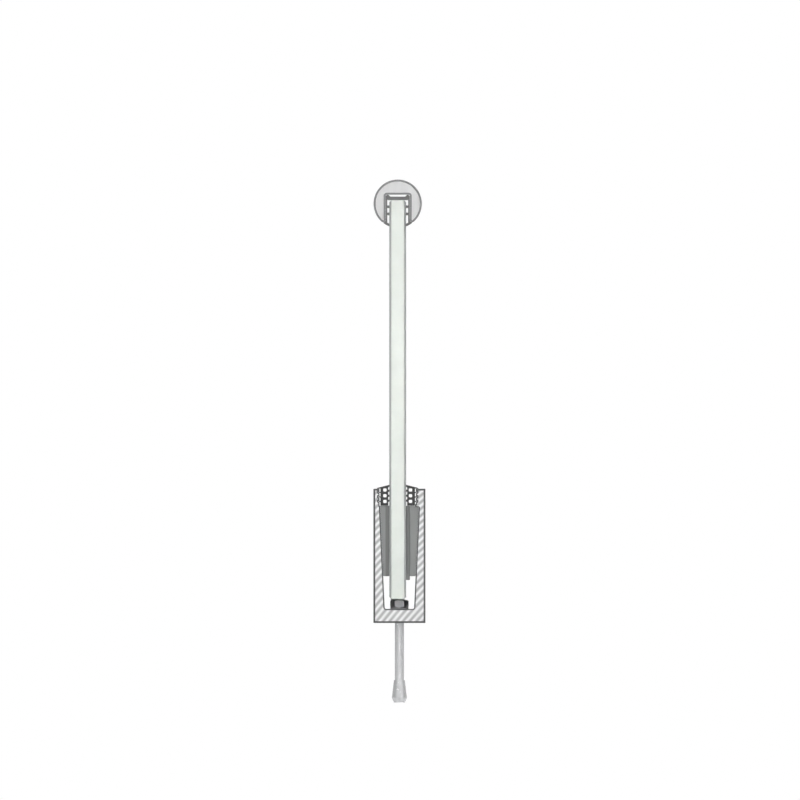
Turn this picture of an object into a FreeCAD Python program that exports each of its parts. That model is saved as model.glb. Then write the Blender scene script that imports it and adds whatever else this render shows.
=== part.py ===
import FreeCAD, Part
import os
import re
import Sketcher

# Glass balustrade with a slotted tube handrail, held in an anchored base shoe.
# Millimetres. X runs across the glass, Y along the run, Z up from the slab.
# The origin is at the middle of the shoe's underside.

# Driving dimensions
SIZES = {
    # Run and glass
    "run_length": 600.0,
    "glass_offset": -1.7,
    "glass_thickness": 16.76,
    "glass_height": 398.8,
    "glass_arris": 2.0,
    # Handrail tube
    "rail_diameter": 48.3,
    "rail_wall": 2.0,
    "slot_width": 24.0,
    "slot_depth": 33.15,
    "mouth_radius": 2.5,
    "slot_corner_radius": 1.0,
    "plug_length": 15.0,
    "plug_recess": 0.6,
    "plug_gap": 0.1,
    # Rail gasket, and the clearance that all rubber keeps
    "rubber_gap": 0.1,
    "rail_rubber_leg": 1.5,
    "rail_rubber_web": 3.6,
    "rail_rubber_rise": 1.9,
    "rail_lip_thickness": 2.5,
    "rail_lip_reach": 14.2,
    "rail_tooth_root": 2.4,
    "rail_tooth_tip": 3.0,
    "rail_tooth_spacing": 7.2,
    "rail_tooth_drop": 6.5,
    # Base shoe
    "shoe_width": 52.0,
    "shoe_height": 134.3,
    "shoe_floor": 14.1,
    "shoe_edge_radius": 0.6,
    "cavity_floor_width": 29.4,
    "cavity_top_width": 38.8,
    "cavity_corner_radius": 1.5,
    "ledge_lip": 0.8,
    "ledge_height": 3.5,
    "ledge_above_seat": 1.6,
    # Top gaskets
    "gasket_depth": 16.9,
    "gasket_width": 9.8,
    "gasket_crown": 3.9,
    "gasket_overlap": 2.4,
    "gasket_brim": 0.7,
    "gasket_lip_length": 1.1,
    "gasket_lip_root": 2.8,
    "gasket_lip_tip": 1.8,
    "gasket_lip_spacing": 4.95,
    "gasket_lip_height": 4.9,
    "chamber_width": 3.4,
    "chamber_height": 3.2,
    "chamber_spacing": 5.7,
    "chamber_base": 2.6,
    "chamber_wall": 1.6,
    "chamber_radius": 1.0,
    "barb_bite": 1.2,
    "barb_root": 1.9,
    "barb_tip": 0.6,
    "barb_spacing": 4.55,
    "barb_height": 3.7,
    # Clamp sets
    "clamp_length": 96.0,
    "clamp_end_gap": 2.0,
    "clamp_bottom": 46.8,
    "clamp_gap": 0.1,
    "pad_thickness": 3.8,
    "pad_tail": 3.8,
    "lead_chamfer": 0.8,
    # Setting blocks
    "block_length": 100.0,
    "block_width": 14.0,
    "block_height": 9.9,
    # Anchor bolts and washers
    "anchor_spacing": 200.0,
    "shank_diameter": 9.2,
    "thread_diameter": 10.0,
    "thread_length": 18.0,
    "bolt_length": 95.5,
    "bolt_tip_chamfer": 1.2,
    "bolt_hole": 11.0,
    "head_across_flats": 16.0,
    "head_height": 6.4,
    "head_chamfer_angle": 30.0,
    "head_face_diameter": 15.2,
    "washer_diameter": 18.0,
    "washer_bore": 10.5,
    "washer_thickness": 2.5,
    # Cone nuts and expansion sleeves
    "nut_past_tip": 0.6,
    "nut_gap": 0.1,
    "nut_foot_diameter": 11.2,
    "nut_wide_diameter": 13.0,
    "nut_wide_height": 3.5,
    "nut_height": 13.5,
    "nut_taper": 0.1,
    "sleeve_lift": 1.5,
    "sleeve_length": 21.0,
    "sleeve_foot_wall": 0.4,
    "sleeve_flare_diameter": 15.2,
    "sleeve_flare_height": 5.0,
    "sleeve_rim_wall": 0.3,
    "slit_width": 0.8,
    "slit_top": 16.0,
    "notch_top": 6.5,
    "notch_width": 4.0,
}

# Sizes worked out from the driving ones
DERIVED = {
    "glass_half": "glass_thickness / 2",
    "glass_left": "glass_offset - glass_half",
    "glass_right": "glass_offset + glass_half",
    "glass_bottom": "shoe_floor + block_height",
    "glass_top": "glass_bottom + glass_height",
    "slot_half": "slot_width / 2",
    "slot_top": "glass_top + rail_rubber_web + rail_rubber_rise",
    "rail_radius": "rail_diameter / 2",
    "rail_centre": "slot_top - slot_depth + rail_radius",
    "slot_roof": "slot_depth - rail_radius",
    "mouth_across": "slot_half + mouth_radius",
    "mouth_drop": "sqrt((rail_radius - mouth_radius) ^ 2 - mouth_across ^ 2)",
    "rail_seat": "glass_top - rail_centre",
    "rail_leg_back": "slot_half - rubber_gap",
    "rail_leg_face": "rail_leg_back - rail_rubber_leg",
    "rail_lip_radius": "rail_radius - rail_lip_thickness",
    "gasket_seat": "shoe_height - gasket_depth",
    "gasket_back": "gasket_width - ledge_lip - rubber_gap",
    "groove_left": "glass_left - gasket_width",
    "groove_right": "glass_right + gasket_width",
    "barb_length": "ledge_lip + rubber_gap + barb_bite",
    "barb_slope": "(barb_root - barb_tip) / barb_length",
    "ledge_face": "groove_right - ledge_lip",
    "ledge_top": "gasket_seat + ledge_above_seat",
    "ledge_bottom": "ledge_top - ledge_height",
    "cavity_slope": "(cavity_top_width - cavity_floor_width) / 2 / (gasket_seat - shoe_floor)",
    "clamp_top": "gasket_seat - clamp_gap",
    "clamp_span": "run_length - clamp_length - 2 * clamp_end_gap",
    "pad_face": "glass_right + pad_thickness",
    "bearing": "shoe_floor + washer_thickness",
    "shank_radius": "shank_diameter / 2",
    "thread_radius": "thread_diameter / 2",
    "nut_foot": "bearing - bolt_length - nut_past_tip",
    "nut_bore_radius": "thread_radius + nut_gap",
    "nut_foot_radius": "nut_foot_diameter / 2",
    "nut_wide_radius": "nut_wide_diameter / 2",
    "nut_rim_radius": "nut_wide_radius - nut_taper * (nut_height - nut_wide_height)",
    "sleeve_top": "sleeve_lift + sleeve_length",
    "sleeve_wide_radius": "nut_wide_radius + nut_gap",
    "sleeve_foot_radius": "nut_foot_radius + nut_gap + (nut_wide_radius - nut_foot_radius)"
    " * sleeve_lift / nut_wide_height",
    "sleeve_grip_radius": "thread_radius + 2 * nut_gap",
    "sleeve_grip_height": "nut_wide_height + (sleeve_wide_radius - sleeve_grip_radius) / nut_taper",
}

CLAMP_SETS = 3
ANCHORS = 3
GASKET_CHAMBERS = 3
GASKET_LIPS = 3
GASKET_BARBS = 3
RAIL_TEETH = 2
SLEEVE_SLOTS = 4

NAMES = re.compile(r"\b(" + "|".join([*SIZES, *DERIVED]) + r")\b")
OUT = "parts"

doc = FreeCAD.newDocument("glass_balustrade_handrail")


def make_sheet():
    """Put the driving sizes and the derived ones in one sheet, each under its alias."""
    sheet = doc.addObject("Spreadsheet::Sheet", "Sizes")
    cells = {alias: str(number) for alias, number in SIZES.items()}
    cells.update({alias: "=" + formula for alias, formula in DERIVED.items()})
    for row, (alias, content) in enumerate(cells.items(), start=1):
        sheet.set(f"A{row}", alias)
        sheet.set(f"B{row}", content)
        sheet.setAlias(f"B{row}", alias)
    doc.recompute()
    return sheet


SHEET = make_sheet()


def bound(text):
    """The same expression with each alias read from the sheet."""
    return NAMES.sub(r"Sizes.\1", text)


def value(text):
    """The expression's present value."""
    return float(SHEET.evalExpression(text))


def new_body(name):
    body = doc.addObject("PartDesign::Body", name)
    body.Label = name
    return body


def place(body, across="0", along="0", up="0"):
    """Bind the body's place to the sheet."""
    for axis, text in zip("xyz", (across, along, up)):
        if text != "0":
            body.setExpression("Placement.Base." + axis, bound(text))


def new_sketch(body, name, role):
    sketch = body.newObject("Sketcher::SketchObject", name)
    plane = next(f for f in body.Origin.OriginFeatures if f.Role == role)
    sketch.AttachmentSupport = (plane, "")
    sketch.MapMode = "FlatFace"
    return sketch


class Bend:
    """The centre of an edge that is an arc, and which way the edge goes round it."""

    def __init__(self, across, up, clockwise=False):
        self.across = across
        self.up = up
        self.clockwise = clockwise

    def reversed(self):
        return Bend(self.across, self.up, not self.clockwise)

    def flipped(self):
        return Bend(f"-({self.across})", self.up, not self.clockwise)


def backwards(path):
    """The path from its end to its start."""
    turned = []
    for index in range(len(path) - 1, -1, -1):
        bend = path[index - 1][2] if index else None
        turned.append((*path[index][:2], bend and bend.reversed()))
    return turned


def flipped(path):
    """The path's mirror image across the sketch's upright axis."""
    return [(f"-({across})", up, bend and bend.flipped()) for across, up, bend in path]


def mirrored(path):
    """The mirror image that carries on from the path's end."""
    return flipped(backwards(path))


def straight(*points):
    """A path of straight edges."""
    return [(across, up, None) for across, up in points]


def outline(body, name, corners, role="XZ_Plane"):
    """A closed sketch through corners of (across, up, bend of the edge that follows)."""
    sketch = new_sketch(body, name, role)
    points = [FreeCAD.Vector(value(across), value(up), 0) for across, up, _ in corners]
    edges = []
    starts = []
    for index, (_, _, bend) in enumerate(corners):
        here = points[index]
        there = points[(index + 1) % len(points)]
        if bend is None:
            edges.append(Part.LineSegment(here, there))
            starts.append(1)
            continue
        centre = FreeCAD.Vector(value(bend.across), value(bend.up), 0)
        first, last = (there, here) if bend.clockwise else (here, there)
        circle = Part.Circle(centre, FreeCAD.Vector(0, 0, 1), (here - centre).Length)
        edges.append(Part.ArcOfCircle(circle, circle.parameter(first), circle.parameter(last)))
        starts.append(2 if bend.clockwise else 1)
    sketch.addGeometry(edges)
    for index, start in enumerate(starts):
        following = (index + 1) % len(starts)
        join = Sketcher.Constraint("Coincident", index, 3 - start, following, starts[following])
        sketch.addConstraint(join)
    for index, (_, _, bend) in enumerate(corners):
        bind_corner(sketch, index, starts[index], corners, points[index])
        if bend:
            bind_point(sketch, f"centre_{index}", index, 3, "X", bend.across)
            bind_point(sketch, f"centre_{index}", index, 3, "Y", bend.up)
    doc.recompute()
    return sketch


def bind_corner(sketch, index, end, corners, point):
    """Hold a corner at its expressions. An arc that ends there already settles one of them."""
    across, up, _ = corners[index]
    arriving = corners[index - 1][2]
    held = {"X": across, "Y": up}
    if arriving:
        radius = point - FreeCAD.Vector(value(arriving.across), value(arriving.up), 0)
        del held["X" if abs(radius.x) > abs(radius.y) else "Y"]
    for axis, text in held.items():
        bind_point(sketch, f"corner_{index}", index, end, axis, text)


def bind_point(sketch, name, edge, end, axis, text):
    """Hold one coordinate of a point at an expression of the sheet."""
    label = f"{name}_{axis.lower()}"
    held = Sketcher.Constraint("Distance" + axis, -1, 1, edge, end, value(text))
    sketch.renameConstraint(sketch.addConstraint(held), label)
    sketch.setExpression("Constraints." + label, bound(text))


def ring(body, name, diameter, along="0"):
    """A level sketch of one circle on the middle line."""
    sketch = new_sketch(body, name, "XY_Plane")
    centre = FreeCAD.Vector(0, value(along), 0)
    sketch.addGeometry(Part.Circle(centre, FreeCAD.Vector(0, 0, 1), value(diameter) / 2))
    bind_point(sketch, "centre", 0, 3, "X", "0")
    bind_point(sketch, "centre", 0, 3, "Y", along)
    across = Sketcher.Constraint("Diameter", 0, value(diameter))
    sketch.renameConstraint(sketch.addConstraint(across), "round")
    sketch.setExpression("Constraints.round", bound(diameter))
    return sketch


def feature(body, kind, name, sketch=None, **settings):
    """Add one feature. Settings that are text are expressions of the sheet."""
    made = body.newObject("PartDesign::" + kind, name)
    if sketch is not None:
        made.Profile = sketch
    for key, setting in settings.items():
        if isinstance(setting, str):
            made.setExpression(key, bound(setting))
        else:
            setattr(made, key, setting)
    return made


def along_run(body, kind, name, sketch, length="run_length"):
    """A pad or pocket that runs both ways from the middle of the run."""
    made = feature(body, kind, name, sketch, Length=length)
    made.SideType = "Symmetric"
    doc.recompute()
    return made


def turned(body, kind, name, sketch):
    """A revolution or groove about the sketch's upright axis."""
    made = feature(body, kind, name, sketch, Angle=360.0)
    made.ReferenceAxis = (sketch, ["V_Axis"])
    doc.recompute()
    return made


def repeat(body, original, name, sketch, spacing, count):
    """Copies of a feature at an even spacing along its sketch's upright axis."""
    pattern = body.newObject("PartDesign::LinearPattern", name)
    pattern.Originals = [original]
    pattern.Direction = (sketch, ["V_Axis"])
    pattern.Mode = "Spacing"
    pattern.setExpression("Offset", bound(spacing))
    pattern.Occurrences = count
    body.Tip = pattern
    doc.recompute()
    return pattern


def soften(body, kind, name, made, test, **settings):
    """Fillet or chamfer the edges of a feature that pass the test."""
    chosen = []
    for number, edge in enumerate(made.Shape.Edges, start=1):
        middle = edge.valueAt((edge.FirstParameter + edge.LastParameter) / 2)
        if test(edge, middle):
            chosen.append(f"Edge{number}")
    softened = feature(body, kind, name, **settings)
    softened.Base = (made, chosen)
    doc.recompute()
    return softened


def lengthwise(edge):
    """Is this a straight edge along the run?"""
    box = edge.BoundBox
    return box.XLength < 0.001 and box.ZLength < 0.001


def near(first, second):
    return abs(first - second) < 0.001


# Handrail tube: one strip rolled into a tube, with a slot folded up into it
def tube_loop(inset):
    """The tube's outer surface for an inset of 0, and its hollow for one of a wall."""
    reach = f"(rail_radius - {inset}) / (rail_radius - mouth_radius)"
    leg = f"slot_half + {inset}"
    right = [
        (leg, f"slot_roof + {inset}", None),
        (leg, "-mouth_drop", Bend("mouth_across", "-mouth_drop")),
        (f"mouth_across * {reach}", f"-mouth_drop * {reach}", Bend("0", "0")),
    ]
    return right + mirrored(right)


def handrail_tube():
    body = new_body("handrail_tube")
    outside = outline(body, "outside", tube_loop("0"))
    bar = along_run(body, "Pad", "slotted_bar", outside)
    roof = value("slot_roof")
    soften(
        body, "Fillet", "slot_corners", bar,
        lambda edge, middle: lengthwise(edge) and near(middle.z, roof),
        Radius="slot_corner_radius",
    )
    hollow = outline(body, "hollow", tube_loop("rail_wall"))
    tube = along_run(body, "Pocket", "hollow_cut", hollow)
    wall_roof = value("slot_roof + rail_wall")
    soften(
        body, "Fillet", "wall_corners", tube,
        lambda edge, middle: lengthwise(edge) and near(middle.z, wall_roof),
        Radius="slot_corner_radius + rail_wall",
    )
    place(body, across="glass_offset", up="rail_centre")


# End plugs: moulded to the tube's hollow, they close it at both ends of the run
def rail_end_plug(number, side):
    body = new_body(f"rail_end_plug_{number}")
    section = outline(body, "section", tube_loop("(rail_wall + plug_gap)"))
    plug = along_run(body, "Pad", "moulding", section, "plug_length")
    corner = value("slot_roof + rail_wall + plug_gap")
    soften(
        body, "Fillet", "slot_corners", plug,
        lambda edge, middle: lengthwise(edge) and near(middle.z, corner),
        Radius="slot_corner_radius + rail_wall + plug_gap",
    )
    place(
        body, across="glass_offset", up="rail_centre",
        along=f"{side} * (run_length / 2 - plug_recess - plug_length / 2)",
    )


# Rail gasket: a rubber channel between the glass edge and the tube's slot
def rail_gasket():
    body = new_body("rail_gasket")
    lip_end = "-mouth_drop - sqrt((mouth_radius + rubber_gap) ^ 2 - (rail_lip_reach - mouth_across) ^ 2)"
    back = [
        ("glass_half", "-sqrt(rail_radius ^ 2 - glass_half ^ 2)", Bend("0", "0")),
        ("rail_lip_reach", "-sqrt(rail_radius ^ 2 - rail_lip_reach ^ 2)", None),
        ("rail_lip_reach", lip_end, Bend("mouth_across", "-mouth_drop", clockwise=True)),
        *straight(
            ("rail_leg_back", "-mouth_drop"),
            ("rail_leg_back", "slot_roof - rubber_gap - slot_corner_radius"),
            ("rail_leg_back - slot_corner_radius", "slot_roof - rubber_gap"),
            ("rail_leg_face - slot_corner_radius", "slot_roof - rubber_gap"),
            ("rail_leg_face - slot_corner_radius * 3", "rail_seat + rail_rubber_web"),
        ),
    ]
    face = [
        ("glass_half", "-sqrt(rail_lip_radius ^ 2 - glass_half ^ 2)", Bend("0", "0")),
        ("rail_leg_face", "-sqrt(rail_lip_radius ^ 2 - rail_leg_face ^ 2)", None),
    ]
    for tooth in reversed(range(RAIL_TEETH)):
        middle = f"rail_seat - rail_tooth_drop - rail_tooth_spacing * {tooth}"
        face += straight(
            ("rail_leg_face", f"{middle} - rail_tooth_root / 2"),
            ("glass_half", f"{middle} - rail_tooth_tip / 2"),
            ("glass_half", f"{middle} + rail_tooth_tip / 2"),
            ("rail_leg_face", f"{middle} + rail_tooth_root / 2"),
        )
    face += straight(
        ("rail_leg_face", "rail_seat + rail_rubber_leg / 2"),
        ("rail_leg_face - rail_rubber_leg / 2", "rail_seat"),
    )
    section = outline(body, "section", back + mirrored(back) + flipped(face) + backwards(face))
    along_run(body, "Pad", "extrusion", section)
    place(body, across="glass_offset", up="rail_centre")


# Glass pane, with an arris ground round both of its faces
def glass_pane():
    body = new_body("glass_pane")
    side = straight(("glass_half", "0"), ("glass_half", "glass_height"))
    section = outline(body, "section", side + mirrored(side))
    sheet = along_run(body, "Pad", "sheet", section)
    soften(
        body, "Chamfer", "arris", sheet,
        lambda edge, middle: edge.BoundBox.XLength < 0.001,
        Size="glass_arris",
    )
    place(body, across="glass_offset", up="glass_bottom")


# Base shoe: an extruded channel with a tapered cavity and serrated gasket grooves
def cavity_half(up):
    """Half the cavity's width at a height."""
    return f"cavity_floor_width / 2 + cavity_slope * ({up} - shoe_floor)"


def barb_groove(body, name, wall, side):
    """Serrations that the gasket's barbs bite into, cut in one wall of the shoe."""
    middle = "gasket_seat + barb_height"
    tip = f"{wall} + {side} * (barb_bite + rubber_gap)"
    root = "barb_root / 2 - barb_slope * (ledge_lip + rubber_gap)"
    groove = outline(body, name + "_section", straight(
        (f"{wall} - {side} * rubber_gap", f"{middle} + barb_root / 2 + rubber_gap"),
        (f"{wall} - {side} * rubber_gap", f"{middle} - {root} - rubber_gap"),
        (tip, f"{middle} + barb_root / 2 - barb_tip - rubber_gap"),
        (tip, f"{middle} + barb_root / 2 + rubber_gap"),
    ))
    cut = along_run(body, "Pocket", name, groove)
    repeat(body, cut, name + "s", groove, "barb_spacing", GASKET_BARBS)


def base_shoe():
    body = new_body("base_shoe")
    section = outline(body, "section", straight(
        ("-shoe_width / 2", "0"),
        ("shoe_width / 2", "0"),
        ("shoe_width / 2", "shoe_height"),
        ("groove_right", "shoe_height"),
        ("groove_right", "ledge_top"),
        ("ledge_face", "ledge_top"),
        ("ledge_face", "ledge_bottom"),
        (cavity_half("ledge_bottom"), "ledge_bottom"),
        ("cavity_floor_width / 2", "shoe_floor"),
        ("-cavity_floor_width / 2", "shoe_floor"),
        ("-cavity_top_width / 2", "gasket_seat"),
        ("groove_left", "gasket_seat"),
        ("groove_left", "shoe_height"),
        ("-shoe_width / 2", "shoe_height"),
    ))
    profile = along_run(body, "Pad", "extrusion", section)
    floor = value("shoe_floor")
    inner = soften(
        body, "Fillet", "cavity_corners", profile,
        lambda edge, middle: lengthwise(edge) and near(middle.z, floor),
        Radius="cavity_corner_radius",
    )
    wall = value("shoe_width / 2")
    soften(
        body, "Fillet", "outer_corners", inner,
        lambda edge, middle: lengthwise(edge) and near(abs(middle.x), wall),
        Radius="shoe_edge_radius",
    )
    barb_groove(body, "left_groove", "groove_left", "-1")
    barb_groove(body, "right_groove", "groove_right", "1")
    first = ring(body, "first_hole", "bolt_hole", f"-anchor_spacing * {(ANCHORS - 1) / 2}")
    hole = feature(body, "Pocket", "anchor_hole", first, Length="shoe_floor * 2")
    hole.SideType = "Symmetric"
    doc.recompute()
    repeat(body, hole, "anchor_holes", first, "anchor_spacing", ANCHORS)


# Top gaskets: one extrusion used on both sides, with hollow chambers, lips and barbs
def top_gasket(name, glass_face, side):
    """A gasket between the glass and the shoe's lip, with distances from the glass face."""
    body = new_body(name)

    def across(distance):
        return f"{side} * ({distance})"

    core = outline(body, "section", straight(
        (across("gasket_lip_length"), "0"),
        (across("gasket_back"), "0"),
        (across("gasket_back"), "gasket_depth + rubber_gap"),
        (across("gasket_width + gasket_overlap"), "gasket_depth + rubber_gap"),
        (across("gasket_width + gasket_overlap"), "gasket_depth + rubber_gap + gasket_brim"),
        (across("0"), "gasket_depth + gasket_crown"),
        (across("0"), "gasket_depth + gasket_crown - gasket_lip_tip"),
        (across("gasket_lip_length"), "gasket_depth + gasket_crown - gasket_lip_root"),
    ))
    along_run(body, "Pad", "extrusion", core)
    lip = outline(body, "lip_section", straight(
        (across("chamber_wall"), "gasket_lip_height - gasket_lip_root / 2"),
        (across("chamber_wall"), "gasket_lip_height + gasket_lip_root / 2"),
        (across("0"), "gasket_lip_height + gasket_lip_tip / 2"),
        (across("0"), "gasket_lip_height - gasket_lip_tip / 2"),
    ))
    first_lip = along_run(body, "Pad", "lip", lip)
    repeat(body, first_lip, "lips", lip, "gasket_lip_spacing", GASKET_LIPS)
    barb = outline(body, "barb_section", straight(
        (across("gasket_back - rubber_gap"), "barb_height + barb_root / 2"),
        (across("gasket_back + barb_length"), "barb_height + barb_root / 2"),
        (across("gasket_back + barb_length"), "barb_height + barb_root / 2 - barb_tip"),
        (across("gasket_back"), "barb_height - barb_root / 2"),
        (across("gasket_back - rubber_gap"), "barb_height - barb_root / 2"),
    ))
    first_barb = along_run(body, "Pad", "barb", barb)
    repeat(body, first_barb, "barbs", barb, "barb_spacing", GASKET_BARBS)
    inner = "gasket_lip_length + chamber_wall"
    hollow = outline(body, "chamber_section", rounded(
        across(inner), across(f"{inner} + chamber_width"),
        "chamber_base", "chamber_base + chamber_height", "chamber_radius",
    ))
    chamber = along_run(body, "Pocket", "chamber", hollow)
    repeat(body, chamber, "chambers", hollow, "chamber_spacing", GASKET_CHAMBERS)
    place(body, across=glass_face, up="gasket_seat")


def rounded(first, last, low, high, radius):
    """An oblong with rounded corners, between two distances across and two heights."""
    left, right = sorted((first, last), key=value)
    return [
        (f"{left} + {radius}", low, None),
        (f"{right} - {radius}", low, Bend(f"{right} - {radius}", f"{low} + {radius}")),
        (right, f"{low} + {radius}", None),
        (right, f"{high} - {radius}", Bend(f"{right} - {radius}", f"{high} - {radius}")),
        (f"{right} - {radius}", high, None),
        (f"{left} + {radius}", high, Bend(f"{left} + {radius}", f"{high} - {radius}")),
        (left, f"{high} - {radius}", None),
        (left, f"{low} + {radius}", Bend(f"{left} + {radius}", f"{low} + {radius}")),
    ]


# Clamp sets: a fixed insert on one side, and a pad and a driven wedge on the other
def clamp_block(name, corners, along):
    """A moulded block of the clamp, its lower edges eased so that it drives in."""
    body = new_body(name)
    section = outline(body, "section", straight(*corners))
    block = along_run(body, "Pad", "moulding", section, "clamp_length")
    foot = min(value(up) for _, up in corners)
    soften(
        body, "Chamfer", "lead_in", block,
        lambda edge, middle: near(middle.z, foot) and not lengthwise(edge),
        Size="lead_chamfer",
    )
    place(body, along=along)


def clamp_set(number, along):
    clamp_block(f"fixed_insert_{number}", [
        ("glass_left", "clamp_bottom"),
        ("glass_left", "clamp_top"),
        (f"clamp_gap - ({cavity_half('clamp_top')})", "clamp_top"),
        (f"clamp_gap - ({cavity_half('clamp_bottom')})", "clamp_bottom"),
    ], along)
    clamp_block(f"glass_pad_{number}", [
        ("glass_right", "clamp_bottom - pad_tail"),
        ("pad_face", "clamp_bottom - pad_tail"),
        ("pad_face", "clamp_top"),
        ("glass_right", "clamp_top"),
    ], along)
    clamp_block(f"clamp_wedge_{number}", [
        ("pad_face", "clamp_bottom"),
        (f"{cavity_half('clamp_bottom')} - clamp_gap", "clamp_bottom"),
        (f"{cavity_half('ledge_bottom')} - clamp_gap", "ledge_bottom - clamp_gap"),
        ("ledge_face - clamp_gap", "ledge_bottom - clamp_gap"),
        ("ledge_face - clamp_gap", "clamp_top"),
        ("pad_face", "clamp_top"),
    ], along)


# Setting blocks: what the glass stands on, between the anchors
def setting_block(number, along):
    body = new_body(f"setting_block_{number}")
    side = straight(("block_width / 2", "0"), ("block_width / 2", "block_height"))
    section = outline(body, "section", side + mirrored(side))
    along_run(body, "Pad", "block", section, "block_length")
    place(body, across="glass_offset", along=along, up="shoe_floor")


# Anchors: a hexagon bolt that draws a cone nut up into a slotted sleeve
def anchor_bolt(number, along):
    """A hexagon bolt, from the underside of its head."""
    body = new_body(f"anchor_bolt_{number}")
    shank = outline(body, "shank_section", straight(
        ("0", "-bolt_length"),
        ("thread_radius - bolt_tip_chamfer", "-bolt_length"),
        ("thread_radius", "bolt_tip_chamfer - bolt_length"),
        ("thread_radius", "thread_length - bolt_length"),
        ("shank_radius", "thread_length - bolt_length + thread_radius - shank_radius"),
        ("shank_radius", "head_height / 2"),
        ("0", "head_height / 2"),
    ))
    turned(body, "Revolution", "shank", shank)
    corner = "head_across_flats / sqrt(3)"
    hexagon = outline(body, "hexagon", straight(*[
        (f"{corner} * cos({60 * side})", f"{corner} * sin({60 * side})") for side in range(6)
    ]), "XY_Plane")
    feature(body, "Pad", "head", hexagon, Length="head_height")
    doc.recompute()
    rim = "(head_across_flats - head_face_diameter / 2)"
    chamfer = outline(body, "chamfer_section", straight(
        ("head_face_diameter / 2", "head_height"),
        ("head_across_flats", f"head_height - {rim} * tan(head_chamfer_angle)"),
        ("head_across_flats", "head_height + head_across_flats / 2"),
        ("head_face_diameter / 2", "head_height + head_across_flats / 2"),
    ))
    turned(body, "Groove", "head_chamfer", chamfer)
    place(body, along=along, up="bearing")


def turned_body(name, corners, along, up):
    """A body turned from one section, whose points are (radius, height)."""
    body = new_body(name)
    section = outline(body, "section", straight(*corners))
    turned(body, "Revolution", "turning", section)
    place(body, along=along, up=up)
    return body


def expansion_sleeve(number, along):
    """A sleeve splayed by the cone nut, slotted so that it can open."""
    body = turned_body(f"expansion_sleeve_{number}", [
        ("sleeve_foot_radius", "sleeve_lift"),
        ("sleeve_foot_radius + sleeve_foot_wall", "sleeve_lift"),
        ("sleeve_flare_diameter / 2", "sleeve_flare_height"),
        ("sleeve_grip_radius + sleeve_rim_wall", "sleeve_top"),
        ("sleeve_grip_radius", "sleeve_top"),
        ("sleeve_grip_radius", "sleeve_grip_height"),
        ("sleeve_wide_radius", "nut_wide_height"),
    ], along, "nut_foot")
    side = straight(
        ("notch_width / 2", "0"),
        ("slit_width / 2", "notch_top"),
        ("slit_width / 2", "slit_top"),
    )
    slot = outline(body, "slot_section", side + mirrored(side))
    cut = feature(body, "Pocket", "slot", slot, Length="sleeve_flare_diameter")
    doc.recompute()
    slots = body.newObject("PartDesign::PolarPattern", "slots")
    slots.Originals = [cut]
    slots.Axis = (slot, ["V_Axis"])
    slots.Angle = 360.0
    slots.Occurrences = SLEEVE_SLOTS
    body.Tip = slots
    doc.recompute()


def anchor(number, along):
    anchor_bolt(number, along)
    turned_body(f"anchor_washer_{number}", [
        ("washer_bore / 2", "0"),
        ("washer_diameter / 2", "0"),
        ("washer_diameter / 2", "washer_thickness"),
        ("washer_bore / 2", "washer_thickness"),
    ], along, "shoe_floor")
    expansion_sleeve(number, along)
    turned_body(f"cone_nut_{number}", [
        ("nut_bore_radius", "0"),
        ("nut_foot_radius", "0"),
        ("nut_wide_radius", "nut_wide_height"),
        ("nut_rim_radius", "nut_height"),
        ("nut_bore_radius", "nut_height"),
    ], along, "nut_foot")


def build():
    """Make every piece, from the rail down to the anchors."""
    handrail_tube()
    rail_end_plug(1, "-1")
    rail_end_plug(2, "1")
    rail_gasket()
    glass_pane()
    base_shoe()
    top_gasket("outer_top_gasket", "glass_left", "-1")
    top_gasket("inner_top_gasket", "glass_right", "1")
    for index in range(CLAMP_SETS):
        clamp_set(index + 1, f"clamp_span * {index / (CLAMP_SETS - 1) - 0.5}")
    for index in range(ANCHORS - 1):
        setting_block(index + 1, f"anchor_spacing * {index - (ANCHORS - 2) / 2}")
    for index in range(ANCHORS):
        anchor(index + 1, f"anchor_spacing * {index - (ANCHORS - 1) / 2}")
    doc.recompute()


def check():
    """Stop if any object failed or any piece isn't one sound solid."""
    for made in doc.Objects:
        if {"Invalid", "Error"} & set(made.State):
            raise RuntimeError(f"{made.Label} failed: {made.State}")
    for body in doc.findObjects("PartDesign::Body"):
        shape = body.Shape
        if shape.isNull() or not shape.isValid() or len(shape.Solids) != 1:
            raise RuntimeError(f"{body.Label} isn't one sound solid")


def write():
    """Write each piece to a file of its own name."""
    os.makedirs(OUT, exist_ok=True)
    for body in doc.findObjects("PartDesign::Body"):
        body.Shape.exportStep(os.path.join(OUT, body.Label + ".step"))
        box = body.Shape.BoundBox
        print(f"{body.Label}: {body.Shape.Volume:.0f} mm3, z {box.ZMin:.2f} to {box.ZMax:.2f}")


build()
check()
write()
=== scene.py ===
"""Looks of a run of glass balustrade: slotted tube handrail, glass pane, clamped base shoe.

All lengths in the classes are millimetres in the row's frame, and become metres when a
mesh is made. X runs across the glass, Y along the run and Z up from the shoe's underside.
"""

import logging
import math
from dataclasses import dataclass, field
from enum import Enum

import bpy
import numpy as np
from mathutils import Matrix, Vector
from mathutils.geometry import tessellate_polygon


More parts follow.
